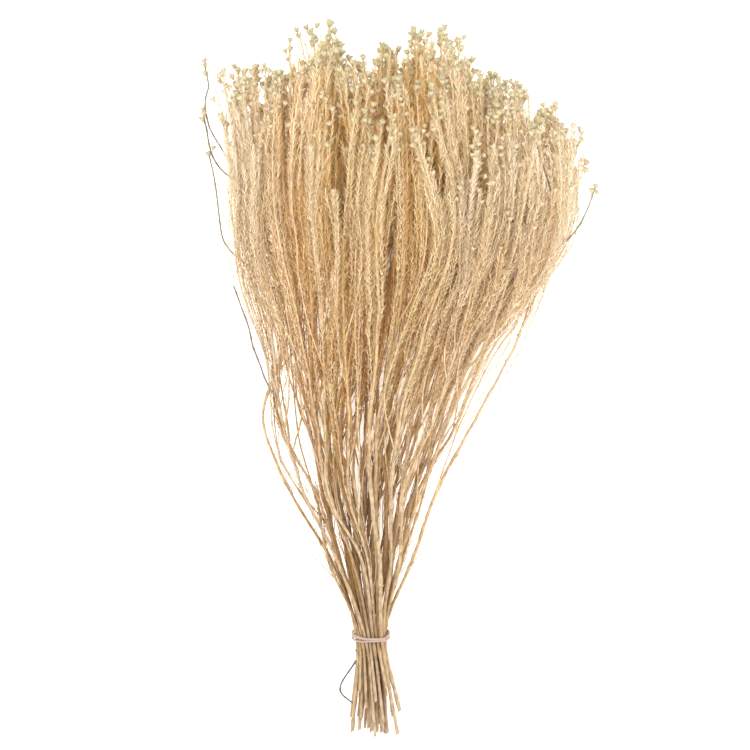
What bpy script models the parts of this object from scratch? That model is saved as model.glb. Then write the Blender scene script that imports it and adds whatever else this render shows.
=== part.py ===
"""A tied bunch of dried staavia, lying on a table.

The stems run along +Y from their cut ends to the flower heads, +Z is up, and the table is at Z = 0.
Every stem is one body with its branches, flower heads and needle leaves. A wound elastic holds them.
"""

import math
import random

import bmesh
import bpy
import numpy as np
from mathutils import Matrix, Vector

MM = 0.001

# Driving dimensions of the bunch
STEM_COUNT = 45
TIE_Y = 84.5 * MM
THINNEST_STEM = 1.15 * MM
THICKEST_STEM = 2.0 * MM
STEM_GAP = 0.3 * MM
TIE_THICKNESS = 2.0 * MM
TIE_WIDTH = 6.0 * MM
TIE_DROOP = 3.0 * MM
TIE_GAP = 0.4 * MM
TIE_SIDES = 24
UNDER_BUNCH = 3.9 * MM
LONGEST_CUT = 44 * MM

# Distance from the cut ends, the middle's X, and half the width and height that the stems' centres fill
OUTLINE = MM * np.array(
    [
        (0, -21, 21, 16),
        (40, -22, 16.5, 13.5),
        (84.5, -23.4, 12.7, 10.9),
        (118, -24.3, 23, 15.5),
        (185, -26.3, 48, 25),
        (252, -26, 79, 34),
        (319, -15.5, 101, 42),
        (386, -1, 142, 49),
        (453, 3, 154, 54),
        (520, 3, 154, 56),
        (600, 3, 154, 57),
    ]
)
CENTRE_X, HALF_WIDTH, HALF_HEIGHT = 1, 2, 3

# X at the top of the bunch, and how far from the cut ends the flowers reach there
CROWN = MM * np.array(
    [
        (-160, 510),
        (-150, 551),
        (-127, 574),
        (-115, 560),
        (-92, 573),
        (-84, 593),
        (-67, 597),
        (-54, 579),
        (-45, 580),
        (-36, 577),
        (-21, 581),
        (-6, 580),
        (10, 586),
        (24, 603),
        (46, 612),
        (58, 573),
        (69, 551),
        (84, 557),
        (104, 551),
        (118, 534),
        (139, 543),
        (148, 530),
        (154, 505),
        (172, 490),
    ]
)
CROWN_ROUNDING = 50 * MM
CROWN_SCATTER = 18 * MM
CANOPY_Y = 380 * MM

# How the stems lie
TWIST = 0.85
TWIST_LENGTH = 110 * MM
WANDER = 0.34
STEM_LEVELS = MM * np.array([84.5, 150, 205, 270, 345, 430])
STEM_TIP = 0.55 * MM

# Distance from the cut ends, and how far a stem may drift there out of its place in the fan
DRIFT = MM * np.array([(0, 12), (84.5, 0), (150, 5), (205, 8), (270, 10), (345, 9), (430, 6), (520, 0)])
DRIFT_ROUNDS = 90
DRIFT_GAP = 0.2 * MM

# Stems that bow out of the bunch: where, over what length and how far towards +X
BOWS = [(240 * MM, 45 * MM, -24 * MM), (225 * MM, 40 * MM, 5 * MM)]

# Loose twigs that stand out of the bunch, as X and distance from the cut ends, and whether they flower
STRAYS = [
    (False, MM * np.array([(-38, 64), (-49, 37), (-39, 28)])),
    (False, MM * np.array([(-99, 283), (-111, 298), (-121, 330), (-126, 347), (-133, 366), (-138, 380)])),
    (True, MM * np.array([(-135, 390), (-147, 419), (-150, 434), (-154, 464), (-159, 489)])),
    (True, MM * np.array([(-148, 462), (-155, 485), (-161, 510), (-164, 526)])),
    (True, MM * np.array([(-148, 470), (-152, 499), (-158, 514), (-162, 536), (-160, 548), (-162, 562)])),
    (True, MM * np.array([(141, 400), (154, 436), (164, 462)])),
]
STRAY_RADIUS = 0.6 * MM

# Branches
BRANCH_COUNT = 4
BRANCH_RADIUS = 0.8 * MM
BRANCH_TIP = 0.5 * MM
BRANCH_TRIES = 12
BRANCH_POINTS = 5
FIRST_FORK = 195 * MM
FORK_STEP = 48 * MM
SWING_LENGTH = 75 * MM
WIDEST_LEAN = 21 * MM
BRANCH_GAP = 0.8 * MM

# Flower heads and needle leaves
HEAD_RADIUS = 2.9 * MM
HEAD_DEPTH = 4.2 * MM
NEEDLE_RADIUS = 0.35 * MM
NEEDLE_LENGTH = 6.5 * MM
NEEDLE_SPLAY = 32
NEEDLES = 6

GOLDEN_ANGLE = math.pi * (3 - math.sqrt(5))


# The rules that place the stems


def outline(y, column):
    """The outline's value at y, on a smooth curve through its stations that is level at the tie."""
    at, value = OUTLINE[:, 0], OUTLINE[:, column]
    slope = np.gradient(value, at)
    slope[at == TIE_Y] = 0
    i = int(np.clip(np.searchsorted(at, y) - 1, 0, len(at) - 2))
    span = at[i + 1] - at[i]
    t = (y - at[i]) / span
    start = value[i] * (1 + 2 * t) * (1 - t) ** 2 + slope[i] * span * t * (1 - t) ** 2
    end = value[i + 1] * t * t * (3 - 2 * t) - slope[i + 1] * span * t * t * (1 - t)
    return start + end


def spread(y):
    """How far the stems have opened at y, across and upwards, as multiples of their spread at the tie."""
    return (
        outline(y, HALF_WIDTH) / outline(TIE_Y, HALF_WIDTH),
        outline(y, HALF_HEIGHT) / outline(TIE_Y, HALF_HEIGHT),
    )


def middle_height(y):
    """The height of the bunch's middle above the table at y."""
    return outline(y, HALF_HEIGHT) + UNDER_BUNCH


def ease(t):
    """From 0 to 1, level at both ends."""
    t = min(max(t, 0), 1)
    return t * t * (3 - 2 * t)


def pack_stems():
    """The stems pressed together inside the tie, as rows of X and Z from its centre and radius."""
    rng = random.Random(11)
    radius = np.array([rng.uniform(THINNEST_STEM, THICKEST_STEM) for _ in range(STEM_COUNT)])
    number = np.arange(STEM_COUNT)
    turn = number * GOLDEN_ANGLE
    reach = 2.2 * MM * np.sqrt(number + 0.5)
    place = np.stack([reach * np.cos(turn), reach * np.sin(turn)], axis=1)
    needed = radius[:, None] + radius + STEM_GAP
    np.fill_diagonal(needed, 0)
    pulled_steps, steps = 500, 1500
    for step in range(steps):
        if step < pulled_steps:
            place *= 1 - np.array([0.010, 0.016]) * (1 - step / pulled_steps)
        apart = place[:, None] - place
        distance = np.maximum(np.linalg.norm(apart, axis=2), 1e-9)
        push = np.maximum(needed - distance, 0) / distance
        place = place + 0.4 * (apart * push[..., None]).sum(axis=1)
    return np.column_stack([place - place.mean(axis=0), radius])


class Stem:
    """One stem's place in the bunch, and how it wanders from the straight fan."""

    def __init__(self, number, place):
        rng = random.Random(100 + number)
        self.number = number
        self.x, self.z, self.radius = place
        self.foot = LONGEST_CUT * rng.random() ** 1.5
        self.waves = [
            (rng.uniform(0.4, 1), rng.uniform(150, 260) * MM, rng.uniform(0, math.tau), axis)
            for axis in (0, 0, 1, 1)
        ]
        self.bow = []
        self.drift = np.zeros((len(DRIFT), 2))
        self.shorter = CROWN_SCATTER * rng.random()

    def at(self, y):
        """The stem's centre at y, as X, Y and Z."""
        turn = TWIST * math.tanh((y - TIE_Y) / TWIST_LENGTH)
        wide, high = spread(y)
        x = self.x * math.cos(turn) - self.z * math.sin(turn)
        z = self.x * math.sin(turn) + self.z * math.cos(turn)
        sway = [0, 0]
        for size, length, phase, axis in self.waves:
            sway[axis] += size * math.sin(math.tau * y / length + phase)
        x = x * wide + WANDER * (wide - 1) * self.radius * sway[0]
        z = z * high + WANDER * (high - 1) * self.radius * sway[1]
        x += np.interp(y, DRIFT[:, 0], self.drift[:, 0])
        z += np.interp(y, DRIFT[:, 0], self.drift[:, 1])
        for top, length, push in self.bow:
            x += push * math.exp(-(((y - top) / length) ** 2))
        return np.array([outline(y, CENTRE_X) + x, y, middle_height(y) + z])

    def thickness(self, y):
        """The stem's radius at y: it tapers from the cut end to its tip."""
        return STEM_TIP + (self.radius - STEM_TIP) * (1 - 0.75 * ease(y / (560 * MM)))


def crown(x, z):
    """How far up the flowers reach over this place at the top of the bunch."""
    top = OUTLINE[-1]
    upwards = (z - middle_height(top[0])) / top[HALF_HEIGHT]
    return np.interp(x, CROWN[:, 0], CROWN[:, 1]) - CROWN_ROUNDING * upwards**2


def inside(point):
    """Whether a point lies inside the bunch's outline."""
    x, y, z = point
    across = (x - outline(y, CENTRE_X)) / (outline(y, HALF_WIDTH) + UNDER_BUNCH)
    upwards = (z - middle_height(y)) / middle_height(y)
    return across**2 + upwards**2 < 1


class Twig:
    """A stem, branch, flower head or needle as a line with a radius at each point."""

    def __init__(self, points, radii, flowers=True):
        self.points = np.array(points)
        self.radii = np.array(radii)
        self.flowers = flowers

    def along(self, y):
        """The point of this line at y."""
        return np.array([np.interp(y, self.points[:, 1], self.points[:, k]) for k in range(3)])

    def head(self):
        """The flower head that opens at the tip, as a line through its middle."""
        step = self.points[-1] - self.points[-2]
        mouth = self.points[-1] + step / np.linalg.norm(step) * HEAD_DEPTH
        return Twig([self.points[-1], mouth], [HEAD_RADIUS, HEAD_RADIUS])

    def with_head(self):
        """This twig with its flower head, as one line that widens into a funnel at the end."""
        if not self.flowers:
            return self
        mouth = self.head().points[1]
        return Twig([*self.points, mouth], [*self.radii, HEAD_RADIUS])


class Crowd:
    """All segments placed so far, with the number of the stem that each belongs to."""

    def __init__(self):
        self.starts = np.zeros((0, 3))
        self.ends = np.zeros((0, 3))
        self.radii = np.zeros(0)
        self.owners = np.zeros(0, int)

    def add(self, owner, twig):
        self.starts = np.vstack([self.starts, twig.points[:-1]])
        self.ends = np.vstack([self.ends, twig.points[1:]])
        self.radii = np.append(self.radii, np.maximum(twig.radii[:-1], twig.radii[1:]))
        self.owners = np.append(self.owners, [owner] * (len(twig.points) - 1))

    def move(self, owner, twig):
        """Put a stem's only twig in a new place."""
        own = self.owners == owner
        self.starts[own] = twig.points[:-1]
        self.ends[own] = twig.points[1:]

    def gap(self, owner, twig):
        """The least distance between this twig and the other stems' segments."""
        others = self.owners != owner
        starts, ends, radii = self.starts[others], self.ends[others], self.radii[others]
        least = math.inf
        for i in range(len(twig.points) - 1):
            apart = segment_distance(twig.points[i], twig.points[i + 1], starts, ends)
            least = min(least, (apart - radii).min() - max(twig.radii[i : i + 2]))
        return least


def segment_distance(start, end, starts, ends):
    """The distance from one segment to each of many."""
    first, others, offset = end - start, ends - starts, start - starts
    a, e, b = first @ first, (others**2).sum(axis=1), others @ first
    c, f = offset @ first, (others * offset).sum(axis=1)
    s = np.clip((b * f - c * e) / np.maximum(a * e - b * b, 1e-18), 0, 1)
    t = np.clip((b * s + f) / e, 0, 1)
    s = np.clip((b * t - c) / a, 0, 1)
    return np.linalg.norm(offset + s[:, None] * first - t[:, None] * others, axis=1)


def main_twig(stem):
    """The stem itself, from its cut end to its tip."""
    top = stem.at(0.55)
    tip = crown(top[0], top[2]) - stem.shorter
    levels = [y for y in STEM_LEVELS if stem.foot + 15 * MM < y < tip - 25 * MM]
    levels = [stem.foot, *levels, tip]
    return Twig([stem.at(y) for y in levels], [stem.thickness(y) for y in levels])


def loosen(stems):
    """Let the stems drift at random out of their places in the fan, as far as there is room."""
    rng = np.random.default_rng(4)
    crowd = Crowd()
    trunks = [main_twig(stem) for stem in stems]
    for stem, trunk in zip(stems, trunks):
        crowd.add(stem.number, trunk)
    for _ in range(DRIFT_ROUNDS):
        for stem, trunk in zip(stems, trunks):
            level = rng.integers(len(DRIFT))
            change = np.zeros_like(stem.drift)
            change[level] = rng.normal(0, 0.5, 2) * DRIFT[level, 1]
            if (np.abs(stem.drift[level] + change[level]) > DRIFT[level, 1]).any():
                continue
            points = trunk.points.copy()
            points[:, 0] += np.interp(points[:, 1], DRIFT[:, 0], change[:, 0])
            points[:, 2] += np.interp(points[:, 1], DRIFT[:, 0], change[:, 1])
            moved = Twig(points, trunk.radii)
            if allowed(crowd, stem, moved, DRIFT_GAP):
                stem.drift += change
                trunk.points = points
                crowd.move(stem.number, moved)


def branch_twig(stem, trunk, turn, rng):
    """A branch that leaves its stem, swings out and runs up beside it to a tip in the crown."""
    fork = FIRST_FORK + FORK_STEP * turn + rng.uniform(-20, 20) * MM
    angle = GOLDEN_ANGLE * turn + rng.uniform(0, math.tau)
    reach = WIDEST_LEAN * math.sqrt(rng.uniform(0.15, 1))
    lean = np.array([reach * math.cos(angle), 0, 0.65 * reach * math.sin(angle)])
    top = stem.at(0.55) + lean
    tip = crown(top[0], top[2]) - rng.uniform(0, 1) ** 1.5 * 120 * MM
    if tip < fork + 90 * MM or fork > trunk.points[-1, 1] - 40 * MM:
        return None
    share = np.linspace(0, 1, BRANCH_POINTS) ** 1.25
    points = [trunk.along(fork)]
    for y in fork + share[1:] * (tip - fork):
        points.append(stem.at(y) + lean * ease((y - fork + 15 * MM) / SWING_LENGTH))
    return Twig(points, np.linspace(BRANCH_RADIUS, BRANCH_TIP, BRANCH_POINTS))


def stray_twig(stem, path, flowers):
    """A loose twig from a stem along a path of X and Y, at the stem's height in the bunch."""
    start = stem.twigs[0].along(path[0, 1])
    upwards = (start[2] - middle_height(start[1])) / outline(start[1], HALF_HEIGHT)
    points = [start]
    for x, y in path[1:]:
        points.append([x, y, middle_height(y) + upwards * outline(y, HALF_HEIGHT)])
    return Twig(points, np.linspace(STRAY_RADIUS, BRANCH_TIP, len(points)), flowers)


def needle_twig(branch, rng):
    """A needle leaf somewhere on the upper part of a branch, splayed towards the tip."""
    share = rng.uniform(0.3, 0.97)
    at = share * (len(branch.points) - 1)
    i = int(at)
    start, end = branch.points[i], branch.points[i + 1]
    root = start + (end - start) * (at - i)
    along = Vector(end - start).normalized()
    side = along.orthogonal().normalized()
    turn = rng.uniform(0, math.tau)
    out = side * math.cos(turn) + along.cross(side) * math.sin(turn)
    splay = math.radians(NEEDLE_SPLAY)
    way = np.array(along * math.cos(splay) + out * math.sin(splay))
    return Twig([root, root + way * NEEDLE_LENGTH], [NEEDLE_RADIUS, NEEDLE_RADIUS])


def allowed(crowd, stem, twig, gap):
    """Whether a twig stays in the outline, above the table and clear of the other stems."""
    above = (twig.points[:, 2] - twig.radii).min() > 0
    return above and all(map(inside, twig.points[:-1])) and crowd.gap(stem.number, twig) > gap


def grow():
    """Every stem with its branches, flower heads and needles."""
    stems = [Stem(i, place) for i, place in enumerate(pack_stems())]
    loosen(stems)
    crowd = Crowd()
    for y, length, push in BOWS:
        outermost = max(stems, key=lambda stem: stem.at(y)[0] * push)
        outermost.bow.append((y, length, push))
    for stem in stems:
        trunk = main_twig(stem)
        stem.twigs, stem.needles = [trunk], []
        crowd.add(stem.number, trunk)
        crowd.add(stem.number, trunk.head())
    for flowers, path in STRAYS:
        by_distance = sorted(stems, key=lambda stem: abs(stem.twigs[0].along(path[0, 1])[0] - path[0, 0]))
        for stem in by_distance:
            stray = stray_twig(stem, path, flowers)
            if crowd.gap(stem.number, stray) > STEM_GAP:
                stem.twigs.append(stray)
                crowd.add(stem.number, stray)
                crowd.add(stem.number, stray.head())
                break
    for turn in range(BRANCH_COUNT):
        for stem in stems:
            rng = random.Random(1000 * stem.number + turn)
            for _ in range(BRANCH_TRIES):
                branch = branch_twig(stem, stem.twigs[0], turn, rng)
                if branch is None or not allowed(crowd, stem, branch, BRANCH_GAP):
                    continue
                if allowed(crowd, stem, branch.head(), BRANCH_GAP):
                    stem.twigs.append(branch)
                    crowd.add(stem.number, branch)
                    crowd.add(stem.number, branch.head())
                    break
    for stem in stems:
        rng = random.Random(5000 + stem.number)
        while len(stem.needles) < NEEDLES:
            needle = needle_twig(rng.choice([twig for twig in stem.twigs if twig.flowers]), rng)
            if allowed(crowd, stem, needle, STEM_GAP):
                stem.needles.append(needle)
                crowd.add(stem.number, needle)
    return stems


def tie_loop(stems, slant):
    """The corners of a tight slanting loop round the stems, as X, Y and Z."""
    step = math.tau / TIE_SIDES
    ways = [np.array([math.cos(step * k), 0, math.sin(step * k)]) for k in range(TIE_SIDES)]
    reach = []
    for way in ways:
        outermost = []
        for edge in (-TIE_WIDTH / 3, 0, TIE_WIDTH / 3):
            y = TIE_Y - TIE_DROOP * way[2] - edge * math.cos(slant)
            shift = edge * math.sin(slant) * way[2]
            outermost += [way @ stem.twigs[0].along(y) + stem.thickness(y) + shift for stem in stems]
        reach.append(max(outermost) + TIE_GAP + TIE_THICKNESS / 2)
    corners = []
    for k, way in enumerate(ways):
        across = np.array([-way[2], 0, way[0]])
        ahead = (reach[(k + 1) % TIE_SIDES] - reach[k] * math.cos(step)) / math.sin(step)
        corners.append(reach[k] * way + ahead * across)
    return corners


# Making the bodies


def new_collection(name):
    """An empty collection in the scene."""
    collection = bpy.data.collections.new(name)
    bpy.context.scene.collection.children.link(collection)
    return collection


def new_object(name, data, collection):
    """An object in a collection."""
    made = bpy.data.objects.new(name, data)
    collection.objects.link(made)
    return made


def poly_curve(name, points, radii=None, closed=False):
    """A curve of straight lines through points."""
    curve = bpy.data.curves.new(name, "CURVE")
    spline = curve.splines.new("POLY")
    spline.points.add(len(points) - 1)
    for i, point in enumerate(points):
        spline.points[i].co = (*point, *[0] * (3 - len(point)), 1)
        spline.points[i].radius = 1 if radii is None else radii[i]
    spline.use_cyclic_u = closed
    return curve


def polygon_profile(sides, collection):
    """A regular polygon of radius 1 m, which a curve's own radius scales down to a stem's section."""
    turns = [math.tau * i / sides for i in range(sides)]
    points = [(math.cos(turn), math.sin(turn)) for turn in turns]
    return new_object(f"profile {sides}", poly_curve(f"profile {sides}", points, closed=True), collection)


def tube(twig, profile, collection):
    """A curve thickened along a twig and widened into its flower head."""
    line = twig.with_head()
    curve = poly_curve("twig", line.points, line.radii)
    curve.dimensions = "3D"
    curve.bevel_mode = "OBJECT"
    curve.bevel_object = profile
    curve.use_fill_caps = True
    return new_object("twig", curve, collection)


def solid_from_curve(source, name, graph):
    """The closed mesh of a curve, as an object that takes the curve's place."""
    mesh = bpy.data.meshes.new_from_object(source.evaluated_get(graph))
    mesh.name = name
    shell = bmesh.new()
    shell.from_mesh(mesh)
    bmesh.ops.remove_doubles(shell, verts=shell.verts, dist=0.001 * MM)
    bmesh.ops.recalc_face_normals(shell, faces=shell.faces)
    shell.to_mesh(mesh)
    shell.free()
    collection, place = source.users_collection[0], source.matrix_world.copy()
    bpy.data.objects.remove(source)
    solid = new_object(name, mesh, collection)
    solid.matrix_world = place
    return solid


def needle_cone(needle, collection):
    """A needle leaf as a slim cone."""
    start, way = Vector(needle.points[0]), Vector(needle.points[1] - needle.points[0])
    mesh = bpy.data.meshes.new("needle")
    shell = bmesh.new()
    bmesh.ops.create_cone(
        shell,
        cap_ends=True,
        segments=3,
        radius1=NEEDLE_RADIUS,
        radius2=0,
        depth=way.length,
    )
    bmesh.ops.remove_doubles(shell, verts=shell.verts, dist=0.001 * MM)
    shell.to_mesh(mesh)
    shell.free()
    solid = new_object("needle", mesh, collection)
    solid.location = start + way / 2
    solid.rotation_euler = way.to_track_quat("Z", "Y").to_euler()
    return solid


def material(name, colour, roughness):
    """A plain material."""
    made = bpy.data.materials.new(name)
    made.use_nodes = True
    shader = made.node_tree.nodes["Principled BSDF"]
    shader.inputs["Base Color"].default_value = (*colour, 1)
    shader.inputs["Roughness"].default_value = roughness
    shader.inputs["Metallic"].default_value = 0
    return made


def fused(body, solver):
    """The mesh of a body with its branches, flower heads and needles joined to it."""
    body.modifiers["join"].solver = solver
    bpy.context.view_layer.update()
    return bpy.data.meshes.new_from_object(body.evaluated_get(bpy.context.evaluated_depsgraph_get()))


def closed(mesh):
    """Whether each edge of a mesh joins exactly two faces."""
    shell = bmesh.new()
    shell.from_mesh(mesh)
    result = len(shell.faces) > 0 and all(edge.is_manifold for edge in shell.edges)
    shell.free()
    return result


def make_stems(stems, collection, workshop):
    """One body for each stem."""
    thick, thin = polygon_profile(5, workshop), polygon_profile(4, workshop)
    tubes = []
    for stem in stems:
        stem.parts = bpy.data.collections.new("parts")
        workshop.children.link(stem.parts)
        trunk, *branches = stem.twigs
        stem.body = tube(trunk, thick, collection)
        tubes.append([tube(branch, thin, stem.parts) for branch in branches])
        for needle in stem.needles:
            needle_cone(needle, stem.parts)
    bpy.context.view_layer.update()
    graph = bpy.context.evaluated_depsgraph_get()
    for stem, curves in zip(stems, tubes):
        stem.body = solid_from_curve(stem.body, f"stem_{stem.number + 1:02d}", graph)
        for curve in curves:
            solid_from_curve(curve, "twig", graph)
        join = stem.body.modifiers.new("join", "BOOLEAN")
        join.operation = "UNION"
        join.operand_type = "COLLECTION"
        join.collection = stem.parts
    for stem in stems:
        mesh = fused(stem.body, "EXACT")
        if not closed(mesh):
            mesh = fused(stem.body, "MANIFOLD")
        stem.body.modifiers.clear()
        stem.body.data = mesh
        shade = random.Random(stem.number).uniform(0.85, 1.15)
        colour = [shade * value for value in (0.42, 0.27, 0.15)]
        mesh.materials.clear()
        mesh.materials.append(material(f"dried stem {stem.number + 1:02d}", colour, 0.85))


def make_tie(stems, collection, workshop):
    """The elastic: three turns side by side round the stems, slanting down towards the cut ends."""
    middle = Vector((outline(TIE_Y, CENTRE_X), TIE_Y, middle_height(TIE_Y)))
    slant = math.atan2(TIE_DROOP, middle_height(TIE_Y))
    corners = tie_loop(stems, slant)
    points = [(x - middle.x, (z - middle.z) / math.cos(slant)) for x, _, z in corners]
    curve = poly_curve("tie", points, closed=True)
    curve.dimensions = "2D"
    section = [(0, -3), (1, -2), (0.55, -1), (1, 0), (0.55, 1), (1, 2), (0, 3), (-1, 2), (-1, -2)]
    section = [(TIE_THICKNESS / 2 * u, TIE_WIDTH / 6 * v) for u, v in section]
    curve.bevel_mode = "OBJECT"
    curve.bevel_object = new_object("tie section", poly_curve("tie section", section, closed=True), workshop)
    loop = new_object("tie", curve, collection)
    loop.location = middle
    loop.rotation_euler = (math.pi / 2 + slant, 0, 0)
    bpy.context.view_layer.update()
    tie = solid_from_curve(loop, "tie", bpy.context.evaluated_depsgraph_get())
    tie.data.materials.clear()
    tie.data.materials.append(material("elastic", (0.62, 0.46, 0.36), 0.6))
    return tie


def corners_of(bodies):
    """All corners of the bodies, in the scene."""
    rows = [[body.matrix_world @ vertex.co for vertex in body.data.vertices] for body in bodies]
    return np.array([corner for row in rows for corner in row])


def rest_plane(points):
    """The heights of the plane that the bunch rests on: level at the tie, the left and the right."""
    slopes = np.zeros(3)
    left = points[:, 0] < outline(CANOPY_Y, CENTRE_X)
    canopy = points[:, 1] > CANOPY_Y
    areas = [points[:, 1] < 0.5 * CANOPY_Y, canopy & left, canopy & ~left]
    for _ in range(8):
        height = points[:, 2] - slopes @ [points[:, 0], points[:, 1], np.ones(len(points))]
        lowest = [np.flatnonzero(area)[height[area].argmin()] for area in areas]
        base = np.column_stack([points[lowest, :2], np.ones(3)])
        slopes = np.linalg.solve(base, points[lowest, 2])
    return slopes


def settle(bodies, root):
    """Rest the bunch on its three low points and put the middle of its underside at the origin."""
    slopes = rest_plane(corners_of(bodies))
    lean = Matrix.Identity(4)
    lean[2][0], lean[2][1], lean[2][3] = -slopes
    for body in bodies:
        body.data.transform(lean @ body.matrix_world)
        body.matrix_world = Matrix.Identity(4)
    points = corners_of(bodies)
    middle = (points.min(axis=0) + points.max(axis=0)) / 2
    middle[2] = points[:, 2].min()
    for body in bodies:
        body.data.transform(Matrix.Translation(-Vector(middle)))
        body.parent = root


def main():
    """Build the bunch."""
    for thing in list(bpy.data.objects):
        bpy.data.objects.remove(thing)
    collection = new_collection("dried_staavia")
    workshop = new_collection("workshop")
    root = new_object("dried_staavia_root", None, collection)
    stems = grow()
    make_stems(stems, collection, workshop)
    tie = make_tie(stems, collection, workshop)
    for parts in list(workshop.children):
        for thing in list(parts.objects):
            bpy.data.objects.remove(thing)
        bpy.data.collections.remove(parts)
    for thing in list(workshop.objects):
        bpy.data.objects.remove(thing)
    bpy.data.collections.remove(workshop)
    settle([*(stem.body for stem in stems), tie], root)


main()
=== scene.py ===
"""The looks of a tied bunch of dried staavia that lies on a table, seen from above.

The stems grow by the same rules and numbers as the part's, then get their fine branchlets, needle
leaves and flower heads.
"""

import math
import random

import bpy
import numpy as np
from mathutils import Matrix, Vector


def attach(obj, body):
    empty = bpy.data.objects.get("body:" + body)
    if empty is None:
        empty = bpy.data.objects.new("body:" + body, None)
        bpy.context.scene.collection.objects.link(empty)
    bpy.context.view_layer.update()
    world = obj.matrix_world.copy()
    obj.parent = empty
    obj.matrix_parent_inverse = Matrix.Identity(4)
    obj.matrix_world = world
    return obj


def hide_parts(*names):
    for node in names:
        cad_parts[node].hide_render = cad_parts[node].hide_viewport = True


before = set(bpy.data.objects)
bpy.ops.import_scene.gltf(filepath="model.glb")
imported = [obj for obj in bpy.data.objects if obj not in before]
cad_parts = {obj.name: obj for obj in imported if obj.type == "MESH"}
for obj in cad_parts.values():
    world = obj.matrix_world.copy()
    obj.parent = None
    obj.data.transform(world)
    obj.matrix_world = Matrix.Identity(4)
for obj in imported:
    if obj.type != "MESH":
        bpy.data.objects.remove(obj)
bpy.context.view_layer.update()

MM = 0.001

# Driving dimensions of the bunch
STEM_COUNT = 45
TIE_Y = 84.5 * MM
THINNEST_STEM = 1.15 * MM
THICKEST_STEM = 2.0 * MM
STEM_GAP = 0.3 * MM
TIE_THICKNESS = 2.0 * MM
TIE_WIDTH = 6.0 * MM
TIE_DROOP = 3.0 * MM
TIE_GAP = 0.4 * MM
TIE_SIDES = 24
UNDER_BUNCH = 3.9 * MM
LONGEST_CUT = 44 * MM

# Distance from the cut ends, the middle's X, and half the width and height that the stems' centres fill
OUTLINE = MM * np.array(
    [
        (0, -21, 21, 16),
        (40, -22, 16.5, 13.5),
        (84.5, -23.4, 12.7, 10.9),
        (118, -24.3, 23, 15.5),
        (185, -26.3, 48, 25),
        (252, -26, 79, 34),
        (319, -15.5, 101, 42),
        (386, -1, 142, 49),
        (453, 3, 154, 54),
        (520, 3, 154, 56),
        (600, 3, 154, 57),
    ]
)
CENTRE_X, HALF_WIDTH, HALF_HEIGHT = 1, 2, 3

# X at the top of the bunch, and how far from the cut ends the flowers reach there
CROWN = MM * np.array(
    [
        (-160, 510),
        (-150, 551),
        (-127, 574),
        (-115, 560),
        (-92, 573),
        (-84, 593),
        (-67, 597),
        (-54, 579),
        (-45, 580),
        (-36, 577),
        (-21, 581),
        (-6, 580),
        (10, 586),
        (24, 603),
        (46, 612),
        (58, 573),
        (69, 551),
        (84, 557),
        (104, 551),
        (118, 534),
        (139, 543),
        (148, 530),
        (154, 505),
        (172, 490),
    ]
)
CROWN_ROUNDING = 50 * MM
CROWN_SCATTER = 18 * MM
TOP_Y = 550 * MM

# How the stems lie
TWIST = 0.85
TWIST_LENGTH = 110 * MM
WANDER = 0.34
WAVE_LENGTHS = (150 * MM, 260 * MM)
STEM_LEVELS = MM * np.array([84.5, 150, 205, 270, 345, 430])
STEM_TIP = 0.55 * MM
TAPER, TAPER_LENGTH = 0.75, 560 * MM

# Distance from the cut ends, and how far a stem may drift there out of its place in the fan
DRIFT = MM * np.array([(0, 12), (84.5, 0), (150, 5), (205, 8), (270, 10), (345, 9), (430, 6), (520, 0)])
DRIFT_ROUNDS = 90
DRIFT_GAP = 0.2 * MM

# Stems that bow out of the bunch: where, over what length and how far towards +X
BOWS = [(240 * MM, 45 * MM, -24 * MM), (225 * MM, 40 * MM, 5 * MM)]

# Loose twigs that stand out of the bunch, as X and distance from the cut ends, and whether they flower
STRAYS = [
    (False, MM * np.array([(-38, 64), (-49, 37), (-39, 28)])),
    (False, MM * np.array([(-99, 283), (-111, 298), (-121, 330), (-126, 347), (-133, 366), (-138, 380)])),
    (True, MM * np.array([(-135, 390), (-147, 419), (-150, 434), (-154, 464), (-159, 489)])),
    (True, MM * np.array([(-148, 462), (-155, 485), (-161, 510), (-164, 526)])),
    (True, MM * np.array([(-148, 470), (-152, 499), (-158, 514), (-162, 536), (-160, 548), (-162, 562)])),
    (True, MM * np.array([(141, 400), (154, 436), (164, 462)])),
]
STRAY_RADIUS = 0.6 * MM

# Branches
BRANCH_COUNT = 4
BRANCH_RADIUS = 0.8 * MM
BRANCH_TIP = 0.5 * MM
BRANCH_TRIES = 12
BRANCH_POINTS = 5
FIRST_FORK = 195 * MM
FORK_STEP = 48 * MM
FORK_SCATTER = 20 * MM
FORK_BELOW_TIP = 40 * MM
SWING_LENGTH = 75 * MM
WIDEST_LEAN = 21 * MM
SHORTEST_BRANCH = 90 * MM
BRANCH_SCATTER = 120 * MM
BRANCH_GAP = 0.8 * MM

# Flower heads
HEAD_RADIUS = 2.9 * MM
HEAD_DEPTH = 4.2 * MM

GOLDEN_ANGLE = math.pi * (3 - math.sqrt(5))


# The rules that place the stems


def outline(y, column):
    """The outline's value at y, on a smooth curve through its stations that is level at the tie."""
    at, value = OUTLINE[:, 0], OUTLINE[:, column]
    slope = np.gradient(value, at)
    slope[at == TIE_Y] = 0
    i = int(np.clip(np.searchsorted(at, y) - 1, 0, len(at) - 2))
    span = at[i + 1] - at[i]
    t = (y - at[i]) / span
    start = value[i] * (1 + 2 * t) * (1 - t) ** 2 + slope[i] * span * t * (1 - t) ** 2
    end = value[i + 1] * t * t * (3 - 2 * t) - slope[i + 1] * span * t * t * (1 - t)
    return start + end


def spread(y):
    """How far the stems have opened at y, across and upwards, as multiples of their spread at the tie."""
    return (
        outline(y, HALF_WIDTH) / outline(TIE_Y, HALF_WIDTH),
        outline(y, HALF_HEIGHT) / outline(TIE_Y, HALF_HEIGHT),
    )


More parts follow.
